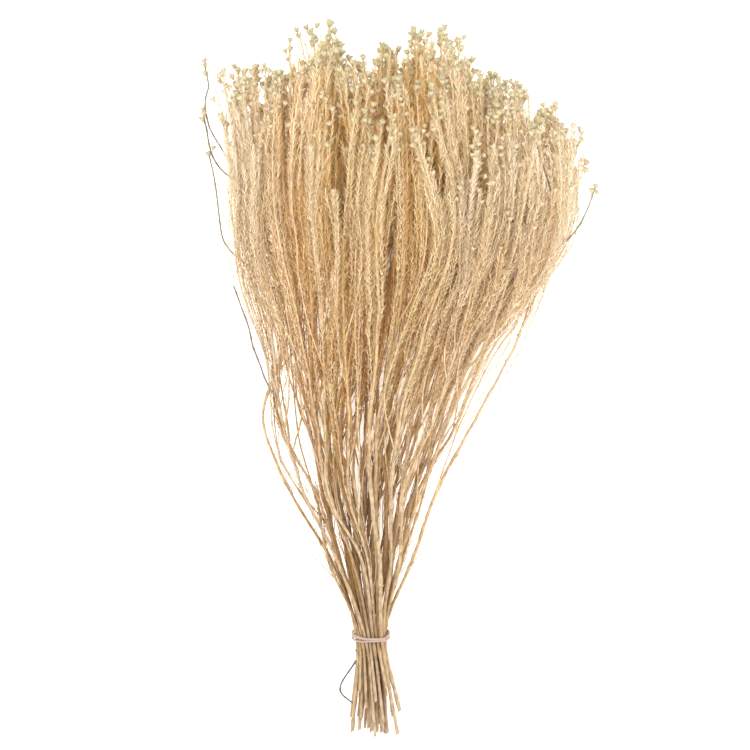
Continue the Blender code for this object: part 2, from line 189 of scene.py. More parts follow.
def middle_height(y):
    """The height of the bunch's middle above the table at y."""
    return outline(y, HALF_HEIGHT) + UNDER_BUNCH


def ease(t):
    """From 0 to 1, level at both ends."""
    t = min(max(t, 0), 1)
    return t * t * (3 - 2 * t)


def pack_stems():
    """The stems pressed together inside the tie, as rows of X and Z from its centre and radius."""
    rng = random.Random(11)
    radius = np.array([rng.uniform(THINNEST_STEM, THICKEST_STEM) for _ in range(STEM_COUNT)])
    number = np.arange(STEM_COUNT)
    turn = number * GOLDEN_ANGLE
    reach = 2.2 * MM * np.sqrt(number + 0.5)
    place = np.stack([reach * np.cos(turn), reach * np.sin(turn)], axis=1)
    needed = radius[:, None] + radius + STEM_GAP
    np.fill_diagonal(needed, 0)
    pulled_steps, steps = 500, 1500
    for step in range(steps):
        if step < pulled_steps:
            place *= 1 - np.array([0.010, 0.016]) * (1 - step / pulled_steps)
        apart = place[:, None] - place
        distance = np.maximum(np.linalg.norm(apart, axis=2), 1e-9)
        push = np.maximum(needed - distance, 0) / distance
        place = place + 0.4 * (apart * push[..., None]).sum(axis=1)
    return np.column_stack([place - place.mean(axis=0), radius])


class Stem:
    """One stem's place in the bunch, and how it wanders from the straight fan."""

    def __init__(self, number, place):
        rng = random.Random(100 + number)
        self.number = number
        self.x, self.z, self.radius = place
        self.foot = LONGEST_CUT * rng.random() ** 1.5
        self.waves = [
            (rng.uniform(0.4, 1), rng.uniform(*WAVE_LENGTHS), rng.uniform(0, math.tau), axis)
            for axis in (0, 0, 1, 1)
        ]
        self.bow = []
        self.drift = np.zeros((len(DRIFT), 2))
        self.shorter = CROWN_SCATTER * rng.random()

    def at(self, y):
        """The stem's centre at y, as X, Y and Z."""
        turn = TWIST * math.tanh((y - TIE_Y) / TWIST_LENGTH)
        wide, high = spread(y)
        x = self.x * math.cos(turn) - self.z * math.sin(turn)
        z = self.x * math.sin(turn) + self.z * math.cos(turn)
        sway = [0, 0]
        for size, length, phase, axis in self.waves:
            sway[axis] += size * math.sin(math.tau * y / length + phase)
        x = x * wide + WANDER * (wide - 1) * self.radius * sway[0]
        z = z * high + WANDER * (high - 1) * self.radius * sway[1]
        x += np.interp(y, DRIFT[:, 0], self.drift[:, 0])
        z += np.interp(y, DRIFT[:, 0], self.drift[:, 1])
        for top, length, push in self.bow:
            x += push * math.exp(-(((y - top) / length) ** 2))
        return np.array([outline(y, CENTRE_X) + x, y, middle_height(y) + z])

    def thickness(self, y):
        """The stem's radius at y: it tapers from the cut end to its tip."""
        return STEM_TIP + (self.radius - STEM_TIP) * (1 - TAPER * ease(y / TAPER_LENGTH))


def crown(x, z):
    """How far up the flowers reach over this place at the top of the bunch."""
    top = OUTLINE[-1]
    upwards = (z - middle_height(top[0])) / top[HALF_HEIGHT]
    return np.interp(x, CROWN[:, 0], CROWN[:, 1]) - CROWN_ROUNDING * upwards**2


def inside(point):
    """Whether a point lies inside the bunch's outline."""
    x, y, z = point
    across = (x - outline(y, CENTRE_X)) / (outline(y, HALF_WIDTH) + UNDER_BUNCH)
    upwards = (z - middle_height(y)) / middle_height(y)
    return across**2 + upwards**2 < 1


class Twig:
    """A stem, branch or flower head as a line with a radius at each point."""

    def __init__(self, points, radii, flowers=True):
        self.points = np.array(points)
        self.radii = np.array(radii)
        self.flowers = flowers

    def along(self, y):
        """The point of this line at y."""
        return np.array([np.interp(y, self.points[:, 1], self.points[:, k]) for k in range(3)])

    def head(self):
        """The flower head that opens at the tip, as a line through its middle."""
        step = self.points[-1] - self.points[-2]
        mouth = self.points[-1] + step / np.linalg.norm(step) * HEAD_DEPTH
        return Twig([self.points[-1], mouth], [HEAD_RADIUS, HEAD_RADIUS])


class Crowd:
    """All segments placed so far, with the number of the stem that each belongs to."""

    def __init__(self):
        self.starts = np.zeros((0, 3))
        self.ends = np.zeros((0, 3))
        self.radii = np.zeros(0)
        self.owners = np.zeros(0, int)

    def add(self, owner, twig):
        self.starts = np.vstack([self.starts, twig.points[:-1]])
        self.ends = np.vstack([self.ends, twig.points[1:]])
        self.radii = np.append(self.radii, np.maximum(twig.radii[:-1], twig.radii[1:]))
        self.owners = np.append(self.owners, [owner] * (len(twig.points) - 1))

    def move(self, owner, twig):
        """Put a stem's only twig in a new place."""
        own = self.owners == owner
        self.starts[own] = twig.points[:-1]
        self.ends[own] = twig.points[1:]

    def gap(self, owner, twig):
        """The least distance between this twig and the other stems' segments."""
        others = self.owners != owner
        starts, ends, radii = self.starts[others], self.ends[others], self.radii[others]
        least = math.inf
        for i in range(len(twig.points) - 1):
            apart = segment_distance(twig.points[i], twig.points[i + 1], starts, ends)
            least = min(least, (apart - radii).min() - max(twig.radii[i : i + 2]))
        return least


def segment_distance(start, end, starts, ends):
    """The distance from one segment to each of many."""
    first, others, offset = end - start, ends - starts, start - starts
    a, e, b = first @ first, (others**2).sum(axis=1), others @ first
    c, f = offset @ first, (others * offset).sum(axis=1)
    s = np.clip((b * f - c * e) / np.maximum(a * e - b * b, 1e-18), 0, 1)
    t = np.clip((b * s + f) / e, 0, 1)
    s = np.clip((b * t - c) / a, 0, 1)
    return np.linalg.norm(offset + s[:, None] * first - t[:, None] * others, axis=1)


def main_twig(stem):
    """The stem itself, from its cut end to its tip."""
    top = stem.at(TOP_Y)
    tip = crown(top[0], top[2]) - stem.shorter
    levels = [y for y in STEM_LEVELS if stem.foot + 15 * MM < y < tip - 25 * MM]
    levels = [stem.foot, *levels, tip]
    return Twig([stem.at(y) for y in levels], [stem.thickness(y) for y in levels])


def loosen(stems):
    """Let the stems drift at random out of their places in the fan, as far as there is room."""
    rng = np.random.default_rng(4)
    crowd = Crowd()
    trunks = [main_twig(stem) for stem in stems]
    for stem, trunk in zip(stems, trunks):
        crowd.add(stem.number, trunk)
    for _ in range(DRIFT_ROUNDS):
        for stem, trunk in zip(stems, trunks):
            level = rng.integers(len(DRIFT))
            change = np.zeros_like(stem.drift)
            change[level] = rng.normal(0, 0.5, 2) * DRIFT[level, 1]
            if (np.abs(stem.drift[level] + change[level]) > DRIFT[level, 1]).any():
                continue
            points = trunk.points.copy()
            points[:, 0] += np.interp(points[:, 1], DRIFT[:, 0], change[:, 0])
            points[:, 2] += np.interp(points[:, 1], DRIFT[:, 0], change[:, 1])
            moved = Twig(points, trunk.radii)
            if allowed(crowd, stem, moved, DRIFT_GAP):
                stem.drift += change
                trunk.points = points
                crowd.move(stem.number, moved)


def branch_twig(stem, trunk, turn, rng):
    """A branch that leaves its stem, swings out and runs up beside it to a tip in the crown."""
    fork = FIRST_FORK + FORK_STEP * turn + rng.uniform(-FORK_SCATTER, FORK_SCATTER)
    angle = GOLDEN_ANGLE * turn + rng.uniform(0, math.tau)
    reach = WIDEST_LEAN * math.sqrt(rng.uniform(0.15, 1))
    lean = np.array([reach * math.cos(angle), 0, 0.65 * reach * math.sin(angle)])
    top = stem.at(TOP_Y) + lean
    tip = crown(top[0], top[2]) - rng.uniform(0, 1) ** 1.5 * BRANCH_SCATTER
    if tip < fork + SHORTEST_BRANCH or fork > trunk.points[-1, 1] - FORK_BELOW_TIP:
        return None
    share = np.linspace(0, 1, BRANCH_POINTS) ** 1.25
    points = [trunk.along(fork)]
    for y in fork + share[1:] * (tip - fork):
        points.append(stem.at(y) + lean * ease((y - fork + 15 * MM) / SWING_LENGTH))
    return Twig(points, np.linspace(BRANCH_RADIUS, BRANCH_TIP, BRANCH_POINTS))


def stray_twig(stem, path, flowers):
    """A loose twig from a stem along a path of X and Y, at the stem's height in the bunch."""
    start = stem.twigs[0].along(path[0, 1])
    upwards = (start[2] - middle_height(start[1])) / outline(start[1], HALF_HEIGHT)
    points = [start]
    for x, y in path[1:]:
        points.append([x, y, middle_height(y) + upwards * outline(y, HALF_HEIGHT)])
    return Twig(points, np.linspace(STRAY_RADIUS, BRANCH_TIP, len(points)), flowers)


def allowed(crowd, stem, twig, gap):
    """Whether a twig stays in the outline, above the table and clear of the other stems."""
    above = (twig.points[:, 2] - twig.radii).min() > 0
    return above and all(map(inside, twig.points[:-1])) and crowd.gap(stem.number, twig) > gap


def grow():
    """Every stem with its branches and flower heads."""
    stems = [Stem(i, place) for i, place in enumerate(pack_stems())]
    loosen(stems)
    crowd = Crowd()
    for y, length, push in BOWS:
        outermost = max(stems, key=lambda stem: stem.at(y)[0] * push)
        outermost.bow.append((y, length, push))
    for stem in stems:
        trunk = main_twig(stem)
        stem.twigs = [trunk]
        crowd.add(stem.number, trunk)
        crowd.add(stem.number, trunk.head())
    for flowers, path in STRAYS:
        by_distance = sorted(stems, key=lambda stem: abs(stem.twigs[0].along(path[0, 1])[0] - path[0, 0]))
        for stem in by_distance:
            stray = stray_twig(stem, path, flowers)
            if crowd.gap(stem.number, stray) > STEM_GAP:
                stem.twigs.append(stray)
                crowd.add(stem.number, stray)
                crowd.add(stem.number, stray.head())
                break
    for turn in range(BRANCH_COUNT):
        for stem in stems:
            rng = random.Random(1000 * stem.number + turn)
            for _ in range(BRANCH_TRIES):
                branch = branch_twig(stem, stem.twigs[0], turn, rng)
                if branch is None or not allowed(crowd, stem, branch, BRANCH_GAP):
                    continue
                if allowed(crowd, stem, branch.head(), BRANCH_GAP):
                    stem.twigs.append(branch)
                    crowd.add(stem.number, branch)
                    crowd.add(stem.number, branch.head())
                    break
    return stems


def tie_loop(stems, slant):
    """The corners of a tight slanting loop round the stems, as X, Y and Z."""
    step = math.tau / TIE_SIDES
    ways = [np.array([math.cos(step * k), 0, math.sin(step * k)]) for k in range(TIE_SIDES)]
    reach = []
    for way in ways:
        outermost = []
        for edge in (-TIE_WIDTH / 3, 0, TIE_WIDTH / 3):
            y = TIE_Y - TIE_DROOP * way[2] - edge * math.cos(slant)
            shift = edge * math.sin(slant) * way[2]
            outermost += [way @ stem.twigs[0].along(y) + stem.thickness(y) + shift for stem in stems]
        reach.append(max(outermost) + TIE_GAP + TIE_THICKNESS / 2)
    corners = []
    for k, way in enumerate(ways):
        across = np.array([-way[2], 0, way[0]])
        ahead = (reach[(k + 1) % TIE_SIDES] - reach[k] * math.cos(step)) / math.sin(step)
        corners.append(reach[k] * way + ahead * across)
    return corners


# The part's last step: it leans the bunch onto its three low points and moves it to the origin
LEAN = np.array([0.13208214369, -0.01288029256, 0.00277538170])
MIDDLE = np.array([0.00029212236, 0.29920250715, 0])

# How fine and how crooked the drawn lines are
STEM_STEP = 6 * MM
BRANCH_STEP = 8 * MM
STRAY_STEP = 3 * MM
STEM_SIDES = 7
BRANCH_SIDES = 5
FINE_SIDES = 3
CROOKED = 0.45 * MM
BEND_STEP = 17 * MM

# How uneven the wood is, what share of it swells and how far, and how its cut ends differ
UNEVEN = (0.82, 1.08)
SWOLLEN_SHARE = 0.12
SWELLING = 1.3
CUT_SLANT = (0.2, 0.8)
SLIMMER_AT_CUT = 0.12
SLIMMING = (TIE_Y - 8 * MM, TIE_Y - 53 * MM)
THICKER_STRAY = 1.5

# Fine branchlets: where on their line they start, and how they leave it
FINE_COUNT = 5
FINE_RADIUS = 0.4 * MM
FINE_FROM = (0.12, 0.7)
FINE_SHORTER = 0.25
FINE_REACH = 9 * MM
FINE_OPENING = 55 * MM
FINE_CROOKED = 0.22 * MM

# Thin bare twigs low in the bunch: where they start, how many steps long they are, how far they slant
BARE_COUNT = 5
BARE_FROM = (100 * MM, 235 * MM)
BARE_POINTS = (9, 22)
BARE_SLANT = 8 * MM
BARE_LIFT = 7 * MM
BARE_CROOKED = 0.35 * MM
BARE_RADII = (0.5 * MM, 0.28 * MM)

# Stubs of broken twigs on the bare stems
STUB_COUNT = 24
STUBS_AT = (40 * MM, 330 * MM)
STUB_SPLAY = (25, 65)
STUB_LENGTH = (0.4 * MM, 2.6 * MM)
STUB_RADII = (0.55 * MM, 0.3 * MM)

# Needle leaves, with their length and splay low in the bunch and high in it
LEAF_SPACING = 1.45 * MM
LEAF_WIDTH = 1.0 * MM
LEAF_LENGTH = (5.2 * MM, 8 * MM)
LEAF_LENGTHS = (0.7, 1.2)
LEAF_SPLAY = (52, 27)
LEAF_SPLAY_SCATTER = 13
LEAVES_FROM = 235 * MM
LEAVES_SCATTER = 40 * MM
LEAVES_CHANGE = (LEAVES_FROM, LEAVES_FROM + 300 * MM)
CLOSER_UPWARDS = 0.65
# Needle leaves get painted shade at their roots: the share of them free of it
UNSHADED_AT_ROOT = 0.7

# Nubs of lost leaves on the bare stems, and the few small leaves of stray twigs
NUBS_FROM = 150 * MM
NUBS_TO = LEAVES_FROM + 60 * MM
NUB_SPACING = 2.2 * LEAF_SPACING
STRAY_SPACING = 3 * LEAF_SPACING
SMALL = 0.5

# Flower heads beside the one at each tip: how many, how far below it, and on what stalks
FLOWERING = 45 * MM
HEADS_AT_TIP = (2, 6)
HEADS_AT_FINE_TIP = (1, 3)
HEADS_AT_STRAY_TIP = 2
HEADS_WITHIN = (0.5 * MM, 18 * MM)
HEAD_SPLAY = (18, 50)
HEAD_STALK = (4 * MM, 9 * MM)
STALK_RADIUS = 0.4 * MM
HEAD_SIZES = (0.88, 1.22)
HEAD_SUNK = 0.3 * MM

# The elastic's windings, side by side and slightly wavy
WINDINGS = 3
WINDING_STEPS = 84
STRAND_RADIUS = 0.14 * TIE_WIDTH
STRAND_SIDES = 10
WINDINGS_APART = 0.4 * TIE_WIDTH
STRAND_WAVE = 0.7 * MM
WAVES_A_WINDING = 1.7

# How far the bunch reaches at each distance from its cut ends
LEVELS = np.arange(601) * MM
REACH = np.array([[outline(y, column) for y in LEVELS] for column in (CENTRE_X, HALF_WIDTH, HALF_HEIGHT)])

# The share of its reach within which the bunch gets the full painted shade, the share from which it gets
# none, and how much greater both are low in the bunch
SHADED_WITHIN = (0.66, 0.12)
LIGHT_FROM = (1, 0.08)
LOW = (250 * MM, 120 * MM)

# The crown gets no painted shade this far down, the cut ends get less of it than the rest, and the stems at
# the tie more
UNSHADED_CROWN = 60 * MM
LESS_SHADE_AT_CUT, CUT_ENDS = 0.9, (75 * MM, 0)
SHADE_AT_TIE, AT_TIE = 0.45, (32 * MM, 0)

# From the bunch's middle to its sides the colours change, but low in the bunch they are the same
SIDE_SHIFT = 0.05
SIDE_FLATNESS = 0.4
SIDES_FROM, SIDES_SPAN = 0.35, 0.6
SAME_LOW = 0.4
SIDES_ABOVE = (200 * MM, 350 * MM)

# Sprays differ in tone across the bunch and much less along it
SPRAY_GRAIN = (60, 9, 60)
SPRAY_TONES = 0.14

# Colours from the cut ends, at 0, to the tips, at 1
STRAW = [
    (0, (0.50, 0.36, 0.24)),
    (0.15, (0.50, 0.36, 0.22)),
    (0.4, (0.56, 0.40, 0.24)),
    (0.6, (0.55, 0.39, 0.22)),
    (1, (0.56, 0.44, 0.28)),
]
GREY = [(0.1, (0.11, 0.11, 0.11)), (0.5, (0.24, 0.21, 0.15)), (1, (0.32, 0.30, 0.21))]
LEAF = [
    (0.3, (0.74, 0.57, 0.36)),
    (0.55, (0.82, 0.66, 0.44)),
    (0.8, (0.82, 0.71, 0.51)),
    (1, (0.78, 0.73, 0.58)),
]
PETAL = [(0.4, (0.67, 0.53, 0.34)), (0.84, (0.63, 0.54, 0.36)), (1, (0.54, 0.51, 0.34))]

# Painted shade colours deep in the bunch, at the cut ends and at the tips
SHADE_WOOD = ((0.20, 0.085, 0.03), (0.90, 0.62, 0.32))
SHADE_GREY = ((0.24, 0.21, 0.15), (0.24, 0.21, 0.15))
SHADE_LEAF = ((0.92, 0.60, 0.27), (0.96, 0.70, 0.36))
SHADE_PETAL = ((0.67, 0.53, 0.34), (0.67, 0.53, 0.34))

# Streaks along the wood and in the leaves, as grains in a metre along X, Y and Z
WOOD_GRAIN = (350, 180, 350)
LEAF_GRAIN = (700, 160, 700)
DRY_ROUGHNESS = (0.65, 0.95)
RELIEF = 0.3 * MM

# Camera, floor and light
PHOTO_CENTRE = (-20.5 * MM, 6.3 * MM)
PHOTO_WIDTH = 627.6 * MM
CAMERA_HEIGHT = 3.0
VIEW_HEIGHT = 60 * MM
SENSOR = 36
FLOOR_REACH = 4
FLOOR_GLOW = 0.7
SKY_COLOUR, SKY_STRENGTH = (1, 0.985, 0.96, 1), 1.21


# Lines and shapes


def progress(value, start, end):
    """How far a value has come from start to end, from 0 to 1."""
    return np.clip((value - start) / (end - start), 0, 1)


def settled(points):
    """Points of the growing bunch moved to where the part lies."""
    points = np.array(points, float)
    points[..., 2] -= points @ (LEAN * [1, 1, 0]) + LEAN[2]
    return points - MIDDLE


def shade_and_sides(points):
    """How far points of the growing bunch are free of painted shade, and how near they are to its two sides.

    The first is 0 deep inside, in the full painted shade, and 1 outside and at the flowers, with no painted
    shade; the second 0 in the middle and 1 aside.
    """
    x, y, z = points.T
    centre, wide, high = (np.interp(y, LEVELS, row) for row in REACH)
    upwards = (z - high - UNDER_BUNCH) / high
    outwards = np.hypot((x - centre) / wide, upwards)
    deep, light = (share + more * progress(y, *LOW) for share, more in (SHADED_WITHIN, LIGHT_FROM))
    top = np.interp(x, CROWN[:, 0], CROWN[:, 1]) - CROWN_ROUNDING * upwards**2
    # Painted shade: full within the shaded share of the reach, none from the light share outwards and near
    # the crown
    unshaded = np.maximum((outwards - deep) / (light - deep), 1 - (top - y) / UNSHADED_CROWN)
    unshaded = np.clip(unshaded, 0, 1) + LESS_SHADE_AT_CUT * progress(y, *CUT_ENDS)
    # More painted shade on the stems at the tie
    unshaded -= SHADE_AT_TIE * progress(np.abs(y - TIE_Y), *AT_TIE)
    aside = np.hypot((x - centre) / wide + SIDE_SHIFT, SIDE_FLATNESS * upwards)
    aside = (aside - SIDES_FROM) / SIDES_SPAN - SAME_LOW
    return np.clip(unshaded, 0, 1), SAME_LOW + aside * progress(y, *SIDES_ABOVE)


def lengths(line):
    """How far each point of a line lies from its start, along the line."""
    return np.append(0, np.cumsum(np.linalg.norm(np.diff(line, axis=0), axis=1)))


def smooth_line(twig, step, rng):
    """A slightly crooked smooth line through a twig's points, with its radii."""
    at = lengths(twig.points)
    where = np.linspace(0, at[-1], max(int(at[-1] / step), 4))
    slope = np.gradient(twig.points, at, axis=0)
    i = np.clip(np.searchsorted(at, where) - 1, 0, len(at) - 2)
    span = (at[i + 1] - at[i])[:, None]
    t = (where - at[i])[:, None] / span
    line = twig.points[i] * (1 + 2 * t) * (1 - t) ** 2 + twig.points[i + 1] * t * t * (3 - 2 * t)
    line += slope[i] * span * t * (1 - t) ** 2 - slope[i + 1] * span * t * t * (1 - t)
    bends = np.arange(0, at[-1] + 30 * MM, BEND_STEP)
    bend = rng.normal(0, CROOKED, (len(bends), 2))
    free = progress(line[:, 1], 1.3 * TIE_Y, 1.3 * TIE_Y + 90 * MM) * progress(where, 0, 20 * MM)
    free *= progress(at[-1] - where, 0, 15 * MM)
    line[:, 0] += free * np.interp(where, bends, bend[:, 0])
    line[:, 2] += free * np.interp(where, bends, bend[:, 1])
    return line, np.interp(where, at, twig.radii)


def fine_line(line, rng):
    """A fine branchlet that leaves a line low down and runs beside it nearly to its tip."""
    start = int(len(line) * rng.uniform(*FINE_FROM))
    last = len(line) - 1 - int(rng.uniform(0, FINE_SHORTER) * (len(line) - start))
    path = line[start : last + 1].copy()
    if len(path) < 5:
        return None
    travelled = lengths(path)
    turn = rng.uniform(0, math.tau)
    reach = FINE_REACH * math.sqrt(rng.uniform(0.1, 1))
    out = reach * progress(travelled, 0, FINE_OPENING) ** 0.8
    out += 0.4 * reach * (travelled / travelled[-1]) ** 4
    path[:, 0] += out * math.cos(turn)
    path[:, 2] += out * math.sin(turn) * 0.8
    path[1:, ::2] += rng.normal(0, FINE_CROOKED, (len(path) - 1, 2))
    return path


def bare_line(line, rng):
    """A thin twig that leaves a stem low in the bunch and slants across its neighbours."""
    start = int(np.searchsorted(line[:, 1], rng.uniform(*BARE_FROM)))
    path = line[start : start + rng.integers(*BARE_POINTS)].copy()
    if len(path) < 7:
        return None
    travelled = np.linspace(0, 1, len(path))
    path[:, 0] += rng.normal(0, BARE_SLANT) * travelled**1.3
    path[:, 2] += rng.uniform(0, BARE_LIFT) * travelled
    path[1:, ::2] += rng.normal(0, BARE_CROOKED, (len(path) - 1, 2))
    return path


def directions(line):
    """The direction of a line at each of its points."""
    way = np.gradient(line, axis=0)
    return way / np.linalg.norm(way, axis=1, keepdims=True)


def across(way, reference=(0, 0, 1)):
    """Two directions square to each given one."""
    side = np.cross(way, reference)
    side /= np.linalg.norm(side, axis=-1, keepdims=True)
    return side, np.cross(side, way)


class Shell:
    """Corners and triangles gathered for one mesh, with a material number for each triangle.

    Each corner has a tip, which gives it painted shade below 1, and a tone, which makes its colour weaker
    above 0.
    """

    def __init__(self):
        self.corners, self.triangles, self.marks, self.count = [], [], [], 0
        self.tips, self.tones, self.tone = [], [], 0

    def add(self, corners, triangles, mark=0, tips=1):
        self.corners.append(corners)
        self.tips.append(np.broadcast_to(tips, len(corners)))
        self.tones.append(np.full(len(corners), self.tone))
        self.triangles.append(triangles + self.count)
        self.marks.append(np.full(len(triangles), mark))
        self.count += len(corners)

    def tube(self, line, radii, sides, reference=(0, 0, 1), slant=0, mark=0, end_mark=0):
        """A closed tube along a line. Its first end can be cut at a slant."""
        line, radii = np.asarray(line), np.broadcast_to(radii, len(line))
        way = directions(line)
        side, up = across(way, reference)
        turns = np.arange(sides) * math.tau / sides
        ring = side[:, None] * np.cos(turns)[:, None] + up[:, None] * np.sin(turns)[:, None]
        corners = line[:, None] + ring * radii[:, None, None]
        corners[0] += way[0] * (radii[0] * slant * np.cos(turns))[:, None]
        i, j = np.meshgrid(np.arange(len(line) - 1), np.arange(sides), indexing="ij")
        a, b = i * sides + j, i * sides + (j + 1) % sides
        walls = np.stack([a, b, b + sides, a, b + sides, a + sides], axis=-1).reshape(-1, 3)
        self.add(corners.reshape(-1, 3), walls, mark)
        around, ahead = np.arange(sides), (np.arange(sides) + 1) % sides
        middle = np.full(sides, sides)
        low = np.vstack([corners[0], corners[0].mean(axis=0)])
        high = np.vstack([corners[-1], corners[-1].mean(axis=0)])
        self.add(low, np.stack([ahead, around, middle], axis=1), end_mark)
        self.add(high, np.stack([around, ahead, middle], axis=1), mark)

    def object(self, name, materials, smooth=True):
        """The mesh as an object that rides on the bunch."""
        grown, triangles = np.vstack(self.corners), np.vstack(self.triangles)
        corners = settled(grown)
        corners[:, 2] = np.maximum(corners[:, 2], 0)
        mesh = bpy.data.meshes.new(name)
        mesh.vertices.add(len(corners))
        mesh.vertices.foreach_set("co", corners.astype(np.float32).ravel())
        mesh.loops.add(triangles.size)
        mesh.loops.foreach_set("vertex_index", triangles.astype(np.int32).ravel())
        mesh.polygons.add(len(triangles))
        mesh.polygons.foreach_set("loop_start", np.arange(0, triangles.size, 3, dtype=np.int32))
        mesh.polygons.foreach_set("material_index", np.concatenate(self.marks).astype(np.int32))
        mesh.polygons.foreach_set("use_smooth", np.full(len(triangles), smooth))
        # The pale attribute is the share free of painted shade: at 0 a surface takes the full painted shade
        # colour
        pale, aside = shade_and_sides(grown)
        pale *= np.concatenate(self.tips)
        aside = np.clip(aside + np.concatenate(self.tones), 0, 1)
        for title, values in (("pale", pale), ("aside", aside)):
            mesh.attributes.new(title, "FLOAT", "POINT").data.foreach_set("value", values.astype(np.float32))
        for made in materials:
            mesh.materials.append(made)
        mesh.update()
        mesh.validate()
        piece = bpy.data.objects.new(name, mesh)
        bpy.context.scene.collection.objects.link(piece)
        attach(piece, "root")
        return piece


def add_leaves(shell, line, rng, spacing=LEAF_SPACING, scale=1, first=LEAVES_FROM):
    """Needle leaves all round a line, closer together, longer and steeper towards its tip."""
    way, at = directions(line), lengths(line)
    start = np.interp(first + rng.uniform(-LEAVES_SCATTER, LEAVES_SCATTER), line[:, 1], at)
    start = max(start, 5 * MM)
    count = int((at[-1] - start) / spacing)
    if count < 2:
        return
    share = ((np.arange(count) + rng.uniform(0, 1, count)) / count) ** CLOSER_UPWARDS
    where = start + share * (at[-1] - start - 1 * MM)
    root = np.stack([np.interp(where, at, line[:, k]) for k in range(3)], axis=1)
    along = np.stack([np.interp(where, at, way[:, k]) for k in range(3)], axis=1)
    along /= np.linalg.norm(along, axis=1, keepdims=True)
    side, up = across(along)
    turn = np.arange(count) * GOLDEN_ANGLE + rng.normal(0, 0.5, count)
    out = side * np.cos(turn)[:, None] + up * np.sin(turn)[:, None]
    flat = side * -np.sin(turn)[:, None] + up * np.cos(turn)[:, None]
    height = progress(root[:, 1], *LEAVES_CHANGE)
    splay = LEAF_SPLAY[0] + (LEAF_SPLAY[1] - LEAF_SPLAY[0]) * height
    splay = np.radians(splay + rng.normal(0, LEAF_SPLAY_SCATTER, count))[:, None]
    length = LEAF_LENGTH[0] + (LEAF_LENGTH[1] - LEAF_LENGTH[0]) * height
    length = (scale * length * rng.uniform(*LEAF_LENGTHS, count))[:, None]
    tip = root + (along * np.cos(splay) + out * np.sin(splay)) * length
    tip += flat * length * rng.normal(0, 0.1, count)[:, None]
    half = LEAF_WIDTH / 2 * math.sqrt(scale)
    base = root + along * length * 0.12
    corners = np.stack([base + flat * half, base - flat * half, base + out * half * 1.2, tip], axis=1)
    faces = np.array([(0, 1, 3), (1, 2, 3), (2, 0, 3), (0, 2, 1)])
    faces = (np.arange(count)[:, None, None] * 4 + faces).reshape(-1, 3)
    # The roots of the needles get painted shade
    shell.add(corners.reshape(-1, 3), faces, tips=np.tile([*[UNSHADED_AT_ROOT] * 3, 1], count))


def head_template():
    """A flower head: a cup of pointed bracts round a low dome, 1 wide and 1 tall."""
    sides = 8
    profile = [(0.16, 0, 0), (0.62, 0.4, 0), (0.9, 0.94, 0.16), (0.5, 0.7, 0)]
    turns = np.arange(sides) * math.tau / sides
    tooth = np.where(np.arange(sides) % 2, -1, 1)
    corners = []
    for radius, height, jag in profile:
        r = radius * (1 + jag * tooth)
        corners.append(np.stack([r * np.cos(turns), r * np.sin(turns), height + 0.8 * jag * tooth], axis=1))
    corners = np.vstack([*corners, [(0, 0, 0)], [(0, 0, 0.84)]])
    faces = []
    for ring in range(len(profile) - 1):
        for j in range(sides):
            a, b = ring * sides + j, ring * sides + (j + 1) % sides
            faces += [(a, b, b + sides), (a, b + sides, a + sides)]
    last = (len(profile) - 1) * sides
    foot, dome = len(corners) - 2, len(corners) - 1
    for j in range(sides):
        ahead = (j + 1) % sides
        faces += [(ahead, j, foot), (last + j, last + ahead, dome)]
    return corners, np.array(faces)


HEAD_CORNERS, HEAD_FACES = head_template()


def add_head(shell, base, way, size, rng):
    """One flower head at base, opening along way."""
    way = way / np.linalg.norm(way)
    side, up = across(way, (0, 0, 1) if abs(way[2]) < 0.9 else (1, 0, 0))
    roll = rng.uniform(0, math.tau)
    x, y, z = (HEAD_CORNERS + rng.normal(0, 0.035, HEAD_CORNERS.shape)).T
    x, y = x * math.cos(roll) - y * math.sin(roll), x * math.sin(roll) + y * math.cos(roll)
    corners = HEAD_RADIUS * size * (x[:, None] * side + y[:, None] * up)
    shell.add(base + corners + HEAD_DEPTH * size * z[:, None] * way, HEAD_FACES)


def add_cluster(wood, heads, line, count, rng):
    """Flower heads on short stalks round a line's tip."""
    way, at = directions(line), lengths(line)
    for _ in range(count):
        where = at[-1] - rng.uniform(*HEADS_WITHIN)
        root = np.array([np.interp(where, at, line[:, k]) for k in range(3)])
        along = way[np.searchsorted(at, where)]
        side, up = across(along)
        turn, splay = rng.uniform(0, math.tau), math.radians(rng.uniform(*HEAD_SPLAY))
        out = side * math.cos(turn) + up * math.sin(turn)
        length = rng.uniform(*HEAD_STALK)
        bend = root + (along * math.cos(splay) + out * math.sin(splay)) * length * 0.6
        way_up = along * math.cos(splay * 0.6) + out * math.sin(splay * 0.6)
        end = bend + way_up * length * 0.4
        wood.tube([root, bend, end], STALK_RADIUS, FINE_SIDES)
        size = rng.uniform(*HEAD_SIZES)
        add_head(heads, end - way_up * HEAD_SUNK, way_up, size, rng)


# Materials


def feed(tree, socket, value):
    """Give a socket its value or another node's output."""
    if isinstance(value, bpy.types.NodeSocket):
        tree.links.new(value, socket)
    else:
        socket.default_value = value


def new_node(tree, kind, settings=(), **inputs):
    """A shader node with its settings and its inputs, each a value or another node's output."""
    node = tree.nodes.new("ShaderNode" + kind)
    for name, value in dict(settings).items():
        setattr(node, name, value)
    for name, value in inputs.items():
        feed(tree, node.inputs[name.replace("_", " ")], value)
    return node


def calculate(tree, operation, *values):
    """The result of one calculation with values or other nodes' outputs."""
    node = tree.nodes.new("ShaderNodeMath")
    node.operation = operation
    for socket, value in zip(node.inputs, values):
        feed(tree, socket, value)
    return node.outputs[0]


def map_range(tree, value, low, high):
    """A value from 0 to 1 turned into one from low to high."""
    return new_node(tree, "MapRange", Value=value, To_Min=low, To_Max=high).outputs["Result"]


def noise(tree, place, grain, detail):
    """Noise with so many grains in a metre, one number or one each along X, Y and Z."""
    if isinstance(grain, tuple):
        place, grain = new_node(tree, "Mapping", Vector=place, Scale=grain).outputs["Vector"], 1
    return new_node(tree, "TexNoise", Vector=place, Scale=grain, Detail=detail).outputs["Fac"]


